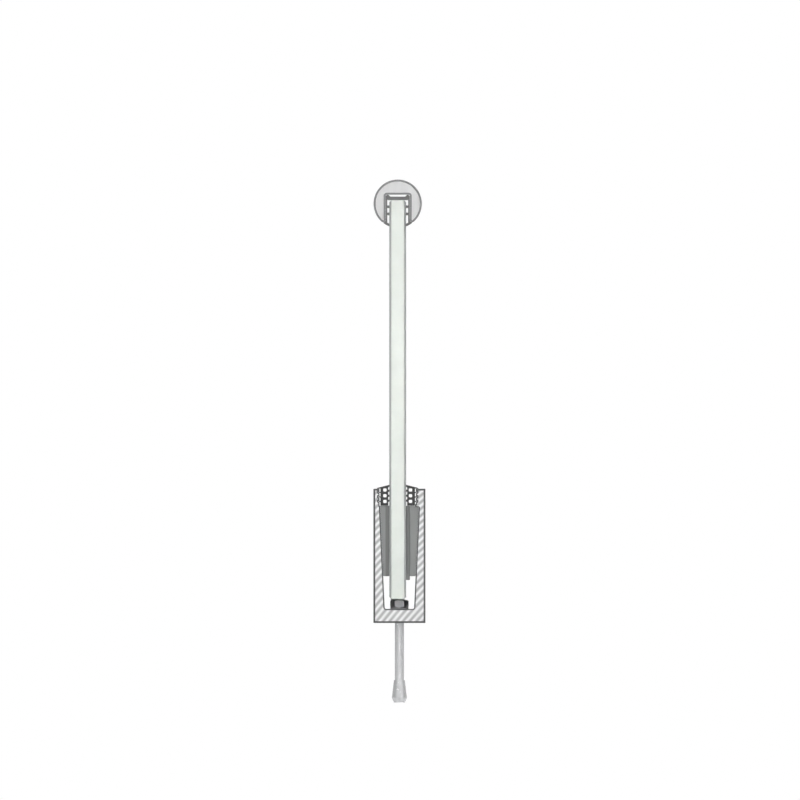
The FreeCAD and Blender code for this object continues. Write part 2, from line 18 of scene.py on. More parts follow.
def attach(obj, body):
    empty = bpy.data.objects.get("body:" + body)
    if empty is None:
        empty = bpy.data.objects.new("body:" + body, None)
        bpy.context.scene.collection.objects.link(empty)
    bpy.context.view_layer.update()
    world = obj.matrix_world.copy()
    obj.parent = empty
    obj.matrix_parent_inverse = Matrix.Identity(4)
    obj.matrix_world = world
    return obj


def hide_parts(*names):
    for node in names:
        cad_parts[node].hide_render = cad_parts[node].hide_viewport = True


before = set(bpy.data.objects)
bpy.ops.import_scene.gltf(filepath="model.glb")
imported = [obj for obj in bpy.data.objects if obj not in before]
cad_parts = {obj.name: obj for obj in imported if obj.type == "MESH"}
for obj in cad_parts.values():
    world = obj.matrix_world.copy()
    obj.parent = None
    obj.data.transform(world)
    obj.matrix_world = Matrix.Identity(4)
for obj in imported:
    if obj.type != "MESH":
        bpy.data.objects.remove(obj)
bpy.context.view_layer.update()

BODY = "root"
MILLIMETRE = 0.001
LOG = logging.getLogger("balustrade")
SHARP_ANGLE = 28.0  # degrees past which an edge is shaded sharp
CORNER_TURN = 20.0  # degrees past which a corner of a soft section is rounded
LEAST_RADIUS = 0.02  # millimetres that a rounded corner keeps under a bevel
SIDE_SHARE = 0.49  # share of a side that one rounded corner may take
TINY = 1e-9

Pair = tuple[float, float]
Colour = tuple[float, float, float]


class Slot(Enum):
    """The record's material slots."""

    TUBE_STEEL = "tube_steel"
    PLUG_PLASTIC = "plug_plastic"
    RAIL_RUBBER = "rail_rubber"
    GLASS = "glass"
    SHOE_ALUMINIUM = "shoe_aluminium"
    GASKET_RUBBER = "gasket_rubber"
    CLAMP_PLASTIC = "clamp_plastic"
    BLOCK_PLASTIC = "block_plastic"
    ANCHOR_STEEL = "anchor_steel"


class Side(Enum):
    """The two sides of the glass, as signs along X."""

    OUTER = -1
    INNER = 1


# Flat shapes: loops of points in millimetres, as arrays of (across, up)


def arc(centre: Pair, radius: float, start: float, end: float, steps: int) -> np.ndarray:
    """Points at even angles on a circle: centre + radius * (cos angle, sin angle).

    Args:
        centre: The circle's centre.
        radius: Its radius.
        start: First angle in degrees.
        end: Last angle in degrees, larger than start to go round counterclockwise.
        steps: How many points.

    Returns:
        An array of (across, up).
    """
    angle = np.radians(np.linspace(start, end, steps))
    return np.stack([centre[0] + radius * np.cos(angle), centre[1] + radius * np.sin(angle)], 1)


def inset(loop: np.ndarray, depth: float) -> np.ndarray:
    """Move a closed loop to its left by a depth, with mitred corners.

    Each point moves along the sum of its two edges' left normals, over one plus their dot
    product, so that both edges move by the depth.

    Args:
        loop: A loop with its material on the left.
        depth: How far to move it into the material.

    Returns:
        The moved loop, point for point.
    """
    edge = np.roll(loop, -1, 0) - loop
    edge /= np.linalg.norm(edge, axis=1, keepdims=True)
    left = np.stack([-edge[:, 1], edge[:, 0]], 1)
    before = np.roll(left, 1, 0)
    dot = (left * before).sum(1, keepdims=True)
    return loop + (left + before) / np.maximum(1 + dot, 0.3) * depth


def area(loop: np.ndarray) -> float:
    """Half the sum of the cross products of neighbouring points: above 0 if counterclockwise."""
    following = np.roll(loop, -1, 0)
    return float((loop[:, 0] * following[:, 1] - loop[:, 1] * following[:, 0]).sum() / 2)


def mirrored(loop: np.ndarray) -> np.ndarray:
    """The loop's mirror image across the upright axis, still going round the same way."""
    return (loop * (-1, 1))[::-1]


def tidy(loop: np.ndarray) -> np.ndarray:
    """Leave out the points of a closed loop that lie on the one before them."""
    step = np.linalg.norm(loop - np.roll(loop, 1, 0), axis=1)
    return loop[step > 1e-5]


def turns(loop: np.ndarray) -> np.ndarray:
    """The angle that a closed loop turns by at each point: atan2(cross, dot) of its two edges.

    Args:
        loop: The loop's points.

    Returns:
        Angles in radians, above 0 to the left.
    """
    before = loop - np.roll(loop, 1, 0)
    after = np.roll(before, -1, 0)
    cross = before[:, 0] * after[:, 1] - before[:, 1] * after[:, 0]
    return np.arctan2(cross, (before * after).sum(1))


@dataclass
class Outline:
    """A closed loop of corners, some of them rounded.

    Attributes:
        corners: The corners.
        radii: A radius for each corner, 0 where it stays sharp.
        steps: Points on each rounded corner.
    """

    corners: np.ndarray
    radii: np.ndarray
    steps: int = 5

    @classmethod
    def softened(cls, points: np.ndarray, radius: float, steps: int = 3) -> "Outline":
        """Round a loop's corners where it turns by more than CORNER_TURN.

        Args:
            points: The loop's points.
            radius: The radius of its corners.
            steps: Points on each rounded corner.

        Returns:
            The outline.
        """
        corners = tidy(np.asarray(points, float))
        turned = np.abs(turns(corners)) > math.radians(CORNER_TURN)
        return cls(corners, np.where(turned, radius, 0.0), steps)

    def left_handed(self, counterclockwise: bool) -> "Outline":
        """The same loop, going round so that the material is on its left.

        Args:
            counterclockwise: Whether the loop has to go round counterclockwise.

        Returns:
            This outline, or its reverse.
        """
        if (area(self.corners) > 0) == counterclockwise:
            return self
        return Outline(self.corners[::-1], self.radii[::-1], self.steps)

    def moved(self, across: float, up: float) -> "Outline":
        """The loop at another place."""
        return Outline(self.corners + (across, up), self.radii, self.steps)

    def loop(self, depth: float = 0.0) -> np.ndarray:
        """The loop's points, moved to its left by a depth.

        An arc of radius r touches both sides of a corner at r / tan(half the angle) from
        it, about a centre on the bisector at r / sin(half the angle). Its points are the
        two touching radii mixed by sin((1 - t) * sweep) and sin(t * sweep), over
        sin(sweep). A corner that the material fills loses the depth from its radius, and a
        corner that it surrounds gains it.

        Args:
            depth: How far to move into the material.

        Returns:
            The points, as many for each depth.
        """
        corners = inset(self.corners, depth) if depth else self.corners
        filled = np.sign(turns(self.corners))
        kept_radius = np.maximum(self.radii - filled * depth, LEAST_RADIUS)
        radius = np.where(self.radii > 0, kept_radius, 0.0)[:, None]
        back = np.roll(corners, 1, 0) - corners
        ahead = np.roll(corners, -1, 0) - corners
        back_length = np.linalg.norm(back, axis=1, keepdims=True)
        ahead_length = np.linalg.norm(ahead, axis=1, keepdims=True)
        back, ahead = back / back_length, ahead / ahead_length
        dot = (back * ahead).sum(1, keepdims=True)
        half = np.arccos(np.clip(dot, -0.999999, 0.999999)) / 2
        room = np.minimum(back_length, ahead_length) * SIDE_SHARE * np.tan(half)
        radius = np.minimum(radius, room)
        bisector = back + ahead
        bisector /= np.maximum(np.linalg.norm(bisector, axis=1, keepdims=True), TINY)
        centre = corners + bisector * radius / np.sin(half)
        first = corners + back * radius / np.tan(half) - centre
        last = corners + ahead * radius / np.tan(half) - centre
        sweep = (math.pi - 2 * half)[:, None]
        t = np.linspace(0, 1, self.steps)[None, :, None]
        mixed = np.sin((1 - t) * sweep) * first[:, None] + np.sin(t * sweep) * last[:, None]
        points = centre[:, None] + mixed / np.maximum(np.sin(sweep), TINY)
        kept = np.zeros(points.shape[:2], bool)
        kept[:, 0] = True
        kept[self.radii > 0] = True
        return points[kept]


@dataclass
class Section:
    """A flat section: an outer outline and those of its holes, going round either way.

    Attributes:
        outer: The outer outline.
        holes: The holes' outlines.
    """

    outer: Outline
    holes: list[Outline] = field(default_factory=list)

    def loops(self, depth: float = 0.0) -> list[np.ndarray]:
        """All loops with the material on their left, moved into it by a depth."""
        outer = self.outer.left_handed(True).loop(depth)
        return [outer] + [hole.left_handed(False).loop(depth) for hole in self.holes]

    def moved(self, across: float, up: float) -> "Section":
        """The section at another place."""
        holes = [hole.moved(across, up) for hole in self.holes]
        return Section(self.outer.moved(across, up), holes)


# Meshes


def make_piece(name: str, points: np.ndarray, faces: list) -> bpy.types.Object:
    """Make a piece of the object from points and faces, smooth but for its sharp edges.

    Args:
        name: The piece's name.
        points: Points in millimetres in the row's frame.
        faces: Faces as tuples of point numbers, facing outwards.

    Returns:
        The object, riding on the body.
    """
    mesh = bpy.data.meshes.new(name)
    mesh.from_pydata(np.asarray(points) * MILLIMETRE, [], faces)
    mesh.validate()
    mesh.shade_smooth()
    mesh.set_sharp_from_angle(angle=math.radians(SHARP_ANGLE))
    piece = bpy.data.objects.new(name, mesh)
    bpy.context.scene.collection.objects.link(piece)
    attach(piece, BODY)
    return piece


def cap_faces(loops: list[np.ndarray]) -> np.ndarray:
    """Fill a flat section with counterclockwise triangles.

    A triangle whose cross product (b - a) x (c - a) is below 0 is turned round.

    Args:
        loops: The section's outer loop and those of its holes.

    Returns:
        Rows of three numbers of the loops' points, counted in order.
    """
    flat = np.concatenate(loops)
    found = tessellate_polygon([[Vector((x, y, 0)) for x, y in loop] for loop in loops])
    corners = np.array(found)
    a, b, c = flat[corners[:, 0]], flat[corners[:, 1]], flat[corners[:, 2]]
    turn = (b[:, 0] - a[:, 0]) * (c[:, 1] - a[:, 1]) - (b[:, 1] - a[:, 1]) * (c[:, 0] - a[:, 0])
    corners[turn < 0] = corners[turn < 0][:, ::-1]
    return corners[np.abs(turn) > TINY]


def extruded(section: Section, near: float, far: float, ease: float = 0.0) -> tuple[np.ndarray, list]:
    """Carry a section along Y, with its two ends eased.

    The point of a loop at parameter t and a ring at height y is (loop across, y, loop up).
    The rings stand at near, near + ease, far - ease and far, and the loops of the first and
    last are inset by the ease, so that a bevel runs round each end.

    Args:
        section: The section, looked at along +Y.
        near: Y of the near end.
        far: Y of the far end.
        ease: The bevel's width. None is made if it is 0.

    Returns:
        The points and the faces.
    """
    places = [(near, 0.0), (far, 0.0)]
    if ease:
        places = [(near, ease), (near + ease, 0.0), (far - ease, 0.0), (far, ease)]
    counts = np.array([len(loop) for loop in section.loops()])
    starts = np.concatenate([[0], np.cumsum(counts)[:-1]])
    total = int(counts.sum())
    points = []
    for along, depth in places:
        flat = np.concatenate(section.loops(depth))
        points.append(np.stack([flat[:, 0], np.full(total, along), flat[:, 1]], 1))
    ring = np.concatenate([start + np.arange(count) for start, count in zip(starts, counts)])
    following = np.concatenate([
        start + (np.arange(count) + 1) % count for start, count in zip(starts, counts)
    ])
    faces = []
    for level in range(len(places) - 1):
        low, high = level * total, (level + 1) * total
        faces += np.stack([ring + low, ring + high, following + high, following + low], 1).tolist()
    cap = cap_faces(section.loops(ease))
    faces += cap.tolist()
    faces += (cap[:, ::-1] + (len(places) - 1) * total).tolist()
    return np.concatenate(points), faces


# Shader maths


class Value:
    """A number that varies over a surface: one socket, with Python's operators as Math nodes."""

    def __init__(self, graph: "Graph", socket: bpy.types.NodeSocket) -> None:
        """Wrap a socket of a graph."""
        self.graph = graph
        self.socket = socket

    def _math(self, operation: str, *values: "Value | float") -> "Value":
        """A Math node with this operation on the values."""
        settings = {"operation": operation}
        return self.graph.node("ShaderNodeMath", settings, dict(enumerate(values))).out()

    def __add__(self, other: "Value | float") -> "Value":
        """Sum."""
        return self._math("ADD", self, other)

    __radd__ = __add__

    def __sub__(self, other: "Value | float") -> "Value":
        """Difference."""
        return self._math("SUBTRACT", self, other)

    def __rsub__(self, other: "Value | float") -> "Value":
        """Difference from a number."""
        return self._math("SUBTRACT", other, self)

    def __mul__(self, other: "Value | float") -> "Value":
        """Product."""
        return self._math("MULTIPLY", self, other)

    __rmul__ = __mul__

    def __abs__(self) -> "Value":
        """Size without its sign."""
        return self._math("ABSOLUTE", self)

    def sine(self) -> "Value":
        """Sine of an angle in radians."""
        return self._math("SINE", self)

    def least(self, other: "Value | float") -> "Value":
        """The smaller of two values."""
        return self._math("MINIMUM", self, other)

    def most(self, other: "Value | float") -> "Value":
        """The larger of two values."""
        return self._math("MAXIMUM", self, other)

    def above(self, edge: float, width: float) -> "Value":
        """0 below the edge, 1 above it, rising smoothly over the width."""
        settings = {"interpolation_type": "SMOOTHSTEP"}
        values = {"Value": self, "From Min": edge - width / 2, "From Max": edge + width / 2}
        return self.graph.node("ShaderNodeMapRange", settings, values).out()

    def between(self, low: float, high: float) -> "Value":
        """Stretch 0 to 1 onto low to high, kept inside them."""
        values = {"Value": self, "To Min": low, "To Max": high}
        return self.graph.node("ShaderNodeMapRange", {"clamp": True}, values).out()


@dataclass
class Made:
    """A node that was added to a graph."""

    graph: "Graph"
    node: bpy.types.Node

    def out(self, name: str | int = 0) -> Value:
        """One of the node's results."""
        return Value(self.graph, self.node.outputs[name])


class Graph:
    """The node tree of one material or world."""

    def __init__(self, tree: bpy.types.NodeTree) -> None:
        """Start from an empty tree."""
        self.tree = tree
        tree.nodes.clear()

    def node(self, kind: str, settings: dict | None = None, values: dict | None = None) -> Made:
        """Add a node.

        Args:
            kind: The node's type.
            settings: Properties that are set first, such as a Math node's operation.
            values: Numbers, colours or links by the socket's name or number.

        Returns:
            The node.
        """
        made = self.tree.nodes.new(kind)
        for name, setting in (settings or {}).items():
            setattr(made, name, setting)
        for name, value in (values or {}).items():
            if isinstance(value, Value):
                self.tree.links.new(value.socket, made.inputs[name])
            else:
                made.inputs[name].default_value = value
        return Made(self, made)

    def place(self, scale: Colour = (1, 1, 1), turn: float = 0.0) -> Value:
        """Object coordinates, turned about Y and then scaled.

        Args:
            scale: The scale along each axis.
            turn: The angle in degrees.

        Returns:
            The coordinates.
        """
        start = self.node("ShaderNodeTexCoord").out("Object")
        rotation = (0.0, math.radians(turn), 0.0)
        turned = self.node("ShaderNodeMapping", {}, {"Vector": start, "Rotation": rotation})
        return self.node("ShaderNodeMapping", {}, {"Vector": turned.out(), "Scale": scale}).out()

    def part(self, vector: Value, axis: str) -> Value:
        """One coordinate of a vector."""
        return self.node("ShaderNodeSeparateXYZ", {}, {"Vector": vector}).out(axis)

    def vectors(self, operation: str, first: Value, second: "Value | Colour") -> Made:
        """A Vector Math node on two vectors."""
        return self.node("ShaderNodeVectorMath", {"operation": operation}, {0: first, 1: second})

    def noise(self, vector: Value, scale: float, detail: float = 3.0, rough: float = 0.55) -> Value:
        """Noise from 0 to 1 at a vector."""
        values = {"Vector": vector, "Scale": scale, "Detail": detail, "Roughness": rough}
        return self.node("ShaderNodeTexNoise", {"noise_dimensions": "3D"}, values).out("Fac")

    def mix(self, factor: Value, first: Colour | Value, second: Colour | Value) -> Value:
        """A colour that goes from the first to the second with the factor.

        Args:
            factor: 0 for the first colour, 1 for the second.
            first: The first colour.
            second: The second colour.

        Returns:
            The mixed colour.
        """
        values = {"Factor": factor}
        for name, colour in (("A", first), ("B", second)):
            values[name] = colour if isinstance(colour, Value) else (*colour, 1.0)
        made = self.tree.nodes.new("ShaderNodeMix")
        made.data_type = "RGBA"
        for name, value in values.items():
            socket = next(s for s in made.inputs if s.name == name and s.enabled)
            if isinstance(value, Value):
                self.tree.links.new(value.socket, socket)
            else:
                socket.default_value = value
        return Value(self, next(s for s in made.outputs if s.enabled))

    def bump(self, height: Value, depth: float, strength: float = 1.0) -> Value:
        """A normal from a height that is 0 to 1 over a depth in metres."""
        values = {"Height": height, "Distance": depth, "Strength": strength}
        return self.node("ShaderNodeBump", {}, values).out()

    def along(self) -> Value:
        """How far a point is from the middle of the run, in metres, either way."""
        return abs(self.part(self.place(), "Y"))

    def ray(self, kind: str) -> Value:
        """1 for a kind of ray, such as Camera or Glossy, and 0 for others."""
        return self.node("ShaderNodeLightPath").out(f"Is {kind} Ray")

    def seen(self) -> Value:
        """1 for the rays by which a thing is seen, straight, in gloss or through glass."""
        return self.ray("Camera").most(self.ray("Glossy")).most(self.ray("Transmission"))

    def principled(self, **values: "Value | float | tuple") -> Value:
        """The standard surface shader, with underscores for the spaces in its sockets' names."""
        named = {name.replace("_", " "): value for name, value in values.items()}
        return self.node("ShaderNodeBsdfPrincipled", {}, named).out()

    def show(self, shader: Value) -> None:
        """End the graph with this shader."""
        self.node("ShaderNodeOutputMaterial", {}, {"Surface": shader})


# Finishes


def shade(colour: Colour, factor: float) -> Colour:
    """A colour made darker or lighter."""
    return tuple(min(1.0, part * factor) for part in colour)


@dataclass(frozen=True)
class Finish:
    """What every finish has.

    Attributes:
        name: The material's name.
        colour: Its middle colour.
    """

    name: str
    colour: Colour

    def material(self) -> bpy.types.Material:
        """Build the material.

        Returns:
            The material, under the finish's name.
        """
        made = bpy.data.materials.new(self.name)
        made.use_nodes = True
        made.diffuse_color = (*self.colour, 1.0)
        graph = Graph(made.node_tree)
        graph.show(self.shader(graph))
        return made

    def shader(self, graph: Graph) -> Value:
        """The finish's own shader."""
        raise NotImplementedError


@dataclass(frozen=True)
class BrushedTube(Finish):
    """Stainless steel polished with a belt round the tube, with dull sawn ends whose dark colour is painted
    shade.

    Attributes:
        sawn: The colour of the sawn ends, darkened as painted shade.
        half_run: Half the run, in metres.
        ease: How far the eased edge of an end reaches along the tube, in metres.
        roughness: The polished skin's middle roughness.
    """

    sawn: Colour = (0.26, 0.262, 0.265)
    half_run: float = 0.3
    ease: float = 0.00036
    roughness: float = 0.32

    def shader(self, graph: Graph) -> Value:
        """Fine rings across the tube from noise stretched round it, under a slower cloud.

        Args:
            graph: The material's nodes.

        Returns:
            The surface shader.
        """
        grain = graph.noise(graph.place((60, 5200, 60)), 1.0, 2.0)
        fine = graph.noise(graph.place((90, 16000, 90)), 1.0, 1.0)
        cloud = graph.noise(graph.place((14, 30, 14)), 1.0, 2.0)
        lines = grain * 0.6 + fine * 0.4
        skin = graph.mix(lines * 0.7 + cloud * 0.3, shade(self.colour, 0.84), shade(self.colour, 1.14))
        scratch = graph.noise(graph.place((2200, 40, 180), 30.0), 1.0, 2.0)
        # Painted shade: the sawn ends take a much darker colour than the polished skin.
        cut = graph.mix(scratch, shade(self.sawn, 0.7), shade(self.sawn, 1.35))
        end = graph.along().above(self.half_run - self.ease, 0.00004)
        rough = (lines * 0.5 + cloud * 0.5) * (1 - end) + (scratch * 0.4 + 0.6) * end
        return graph.principled(
            Base_Color=graph.mix(end, skin, cut), Metallic=1.0 - end * 0.5,
            Roughness=rough.between(self.roughness - 0.1, self.roughness + 0.18),
            Normal=graph.bump(lines * (1 - end) + scratch * end, 0.00002, 0.4),
        )


@dataclass(frozen=True)
class SawnAluminium(Finish):
    """A satin anodised extrusion: die lines along it, saw marks on its ends, file marks on their eased
    edges, and painted shade as a dark band on those edges and round the ends' outer rim.

    Attributes:
        sawn: The colour of the bare metal on the sawn ends.
        painted_edge_shade: The painted shade's dark colour on the ends' eased edges and outer rim.
        half_run: Half the run, in metres, where the ends are.
        half_width: Half the extrusion's width, in metres.
        half_height: Half its height, in metres, from its underside at Z = 0.
        ease: The width of the eased edge that the painted shade darkens, in metres.
        rim: How far the painted shade and the file's marks reach in from the outer edges, in metres.
        stroke: How far apart the saw's strokes are, in metres.
        blade: The centre that the strokes curve round, in metres.
    """

    sawn: Colour = (0.8, 0.805, 0.81)
    painted_edge_shade: Colour = (0.09, 0.091, 0.092)
    half_run: float = 0.3
    half_width: float = 0.026
    half_height: float = 0.06715
    ease: float = 0.0013
    rim: float = 0.0018
    stroke: float = 0.00517
    blade: tuple[float, float, float] = (0.353, 0.0, -0.287)

    def shader(self, graph: Graph) -> Value:
        """Strokes are a sine of the distance from the blade's centre, bent and broken by noise.

        The distance in from the outer edges is the smaller of those from the sides and from
        the top and underside.

        Args:
            graph: The material's nodes.

        Returns:
            The surface shader.
        """
        spot = graph.place()
        wander = graph.noise(spot, 60.0, 2.0)
        flat = graph.vectors("MULTIPLY", spot, (1.0, 0.0, 1.0)).out("Vector")
        reach = graph.vectors("DISTANCE", flat, self.blade).out("Value") + wander * 0.0009
        stroke = (reach * (2 * math.pi / self.stroke)).sine() * 0.5 + 0.5
        fine = graph.noise(graph.place((2600, 40, 60), -45.0), 1.0, 2.0)
        marks = stroke * 0.66 + fine * 0.34
        sawn = graph.mix(marks, shade(self.sawn, 0.4), shade(self.sawn, 1.35))
        die = graph.noise(graph.place((1500, 3, 1500)), 1.0, 3.0)
        cloud = graph.noise(graph.place((25, 8, 25)), 1.0, 2.0)
        skin = graph.mix(die * 0.6 + cloud * 0.4, shade(self.colour, 0.86), shade(self.colour, 1.12))
        end = graph.along().above(self.half_run - 0.00006, 0.00004)
        aside = self.half_width - abs(graph.part(spot, "X"))
        inward = aside.least(self.half_height - abs(graph.part(spot, "Z") - self.half_height))
        # Painted shade: the eased end edges and a rim of the end face get a near-black colour and less
        # metallic gloss.
        rim = 1 - inward.above(self.rim, 0.0002)
        edge = graph.along().above(self.half_run - self.ease, 0.00008) * (1 - end * (1 - rim))
        file_marks = graph.noise(graph.place((900, 2500, 900)), 1.0, 2.0)
        painted_edge_shade = graph.mix(file_marks, shade(self.painted_edge_shade, 0.7), shade(self.painted_edge_shade, 1.4))
        height = marks * end + die * (1 - end) * 0.6 + file_marks * edge * 0.4
        rough = marks * end + (die * 0.5 + 0.3) * (1 - end) + edge * 0.4
        return graph.principled(
            Base_Color=graph.mix(edge, graph.mix(end, skin, sawn), painted_edge_shade),
            Metallic=(0.85 - end * 0.35) * (1 - edge * 0.8),
            Roughness=rough.between(0.32, 0.56), Normal=graph.bump(height, 0.00007, 0.5),
        )


@dataclass(frozen=True)
class ExtrudedRubber(Finish):
    """Matt rubber with drawn lines along its length and a bloom of pale dust.

    Attributes:
        roughness: Its middle roughness.
    """

    roughness: float = 0.72

    def shader(self, graph: Graph) -> Value:
        """Lines are noise stretched along the run, and bloom is a slower noise over them.

        Args:
            graph: The material's nodes.

        Returns:
            The surface shader.
        """
        drawn = graph.noise(graph.place((1400, 6, 1400)), 1.0, 2.0)
        speckle = graph.noise(graph.place((900, 900, 900)), 1.0, 2.0)
        bloom = graph.noise(graph.place((90, 18, 90)), 1.0, 4.0)
        tone = drawn * 0.35 + speckle * 0.25 + bloom * 0.4
        return graph.principled(
            Base_Color=graph.mix(tone, shade(self.colour, 0.72), shade(self.colour, 1.3)),
            Roughness=tone.between(self.roughness - 0.1, self.roughness + 0.16), Specular_IOR_Level=0.3,
            Normal=graph.bump(drawn * 0.5 + speckle * 0.5, 0.00006, 0.5),
        )


@dataclass(frozen=True)
class MouldedPlastic(Finish):
    """Moulded plastic with a fine spark texture and faint flow marks.

    Attributes:
        roughness: Its middle roughness.
        soft: How dark the soft face against the glass is, as a share of the colour.
        soft_reach: How far that face reaches from the glass's middle plane, in metres.
        glass_middle: X of that plane, in metres.
    """

    roughness: float = 0.48
    soft: float = 1.0
    soft_reach: float = 0.0
    glass_middle: float = -0.0017

    def shader(self, graph: Graph) -> Value:
        """Grain is fine noise, flow marks are noise stretched upwards, and X tells the soft face.

        Args:
            graph: The material's nodes.

        Returns:
            The surface shader.
        """
        grain = graph.noise(graph.place((1500, 1500, 1500)), 1.0, 3.0)
        flow = graph.noise(graph.place((240, 60, 24)), 1.0, 3.0)
        tone = grain * 0.45 + flow * 0.55
        body = graph.mix(tone, shade(self.colour, 0.86), shade(self.colour, 1.12))
        rough = tone
        if self.soft < 1.0:
            away = abs(graph.part(graph.place(), "X") - self.glass_middle)
            hard = away.above(self.soft_reach, 0.0003)
            dark = shade(self.colour, self.soft)
            body = graph.mix(hard, graph.mix(tone, shade(dark, 0.84), shade(dark, 1.14)), body)
            rough = tone * 0.6 + (1 - hard) * 0.4
        return graph.principled(
            Base_Color=body, Roughness=rough.between(self.roughness - 0.08, self.roughness + 0.2),
            Specular_IOR_Level=0.4, Normal=graph.bump(grain, 0.00005, 0.45),
        )


@dataclass(frozen=True)
class ZincPlate(Finish):
    """Zinc plating: fine turned rings, a soft spangle and a slightly dull bloom.

    Attributes:
        roughness: Its middle roughness.
    """

    roughness: float = 0.2

    def shader(self, graph: Graph) -> Value:
        """Rings are noise stretched round the upright axis, and spangle is a slower noise.

        Args:
            graph: The material's nodes.

        Returns:
            The surface shader.
        """
        rings = graph.noise(graph.place((120, 120, 4200)), 1.0, 2.0)
        spangle = graph.noise(graph.place((320, 320, 320)), 1.0, 2.0)
        bloom = graph.noise(graph.place((90, 90, 60)), 1.0, 3.0)
        tone = rings * 0.4 + spangle * 0.3 + bloom * 0.3
        return graph.principled(
            Base_Color=graph.mix(tone, shade(self.colour, 0.74), shade(self.colour, 1.14)),
            Metallic=0.45,
            Roughness=(spangle * 0.4 + bloom * 0.6).between(self.roughness - 0.08, self.roughness + 0.16),
            Normal=graph.bump(rings, 0.00003, 0.5),
        )


@dataclass(frozen=True)
class PaneGlass(Finish):
    """Clear glass with a faint green tint, polished edges and arrises ground to a grey.

    Attributes:
        edge: The colour that the polished edges show of the glass's depth.
        ground: The colour of the ground arris.
        middle: X of the pane's middle plane, in metres.
        low: Z of the pane's foot, in metres.
        high: Z of its top, in metres.
        half_run: Half its length, in metres.
        half_thick: Half its thickness, in metres.
        depth: How much of a polished edge's look is its own colour.
        skin: How near a point has to be to a face to lie on it, in metres.
    """

    edge: Colour = (0.73, 0.785, 0.727)
    ground: Colour = (0.43, 0.445, 0.435)
    middle: float = -0.0017
    low: float = 0.024
    high: float = 0.4228
    half_run: float = 0.3
    half_thick: float = 0.00838
    depth: float = 0.85
    skin: float = 0.00006

    def shader(self, graph: Graph) -> Value:
        """Distances in from the pane's faces tell its faces, edges and arrises apart.

        The distance in from the big faces is 0 on them. The distance in from the nearest
        edge is 0 on the edges. On the arris neither is. A step on each mixes polished
        edge and ground arris over the clear glass.

        Args:
            graph: The material's nodes.

        Returns:
            The surface shader.
        """
        spot = graph.place()
        thick = self.half_thick - abs(graph.part(spot, "X") - self.middle)
        centre, half = (self.low + self.high) / 2, (self.high - self.low) / 2
        inward = (self.half_run - graph.along()).least(half - abs(graph.part(spot, "Z") - centre))
        off_face = thick.above(self.skin, self.skin)
        off_edge = inward.above(self.skin, self.skin)
        clear = graph.principled(
            Base_Color=(*self.colour, 1.0), Roughness=0.0, IOR=1.5, Transmission_Weight=1.0,
        )
        grind = graph.noise(graph.place((1800, 1800, 1800)), 1.0, 3.0)
        cloud = graph.noise(graph.place((60, 60, 60)), 1.0, 2.0)
        tone = grind * 0.5 + cloud * 0.5
        deep = graph.principled(
            Base_Color=graph.mix(cloud, shade(self.edge, 0.94), shade(self.edge, 1.05)),
            Roughness=cloud.between(0.08, 0.2), Coat_Weight=0.3,
        )
        frosted = graph.principled(
            Base_Color=graph.mix(tone, shade(self.ground, 0.85), shade(self.ground, 1.15)),
            Roughness=grind.between(0.55, 0.8), Specular_IOR_Level=0.4,
            Normal=graph.bump(grind, 0.00006, 0.5),
        )
        on_edge = off_face * (1 - off_edge) * self.depth
        edged = graph.node("ShaderNodeMixShader", {}, {0: on_edge, 1: clear, 2: deep}).out()
        on_arris = off_face * off_edge
        return graph.node("ShaderNodeMixShader", {}, {0: on_arris, 1: edged, 2: frosted}).out()


@dataclass(frozen=True)
class PaleFloor(Finish):
    """A matt floor that shows nearly white, and still takes the object's shadow.

    Attributes:
        lift: How much paler it is seen than it lights the object.
    """

    lift: float = 0.36

    def shader(self, graph: Graph) -> Value:
        """The matt surface plus a glow that only the rays that see it meet.

        Args:
            graph: The material's nodes.

        Returns:
            The surface shader.
        """
        cloud = graph.noise(graph.place(), 3.0, 2.0)
        matt = graph.principled(
            Base_Color=graph.mix(cloud, shade(self.colour, 0.98), shade(self.colour, 1.02)),
            Roughness=0.9, Specular_IOR_Level=0.1,
        )
        glow = graph.node("ShaderNodeEmission", {}, {"Strength": graph.seen() * self.lift}).out()
        return graph.node("ShaderNodeAddShader", {}, {0: matt, 1: glow}).out()


# The object's sub-assemblies


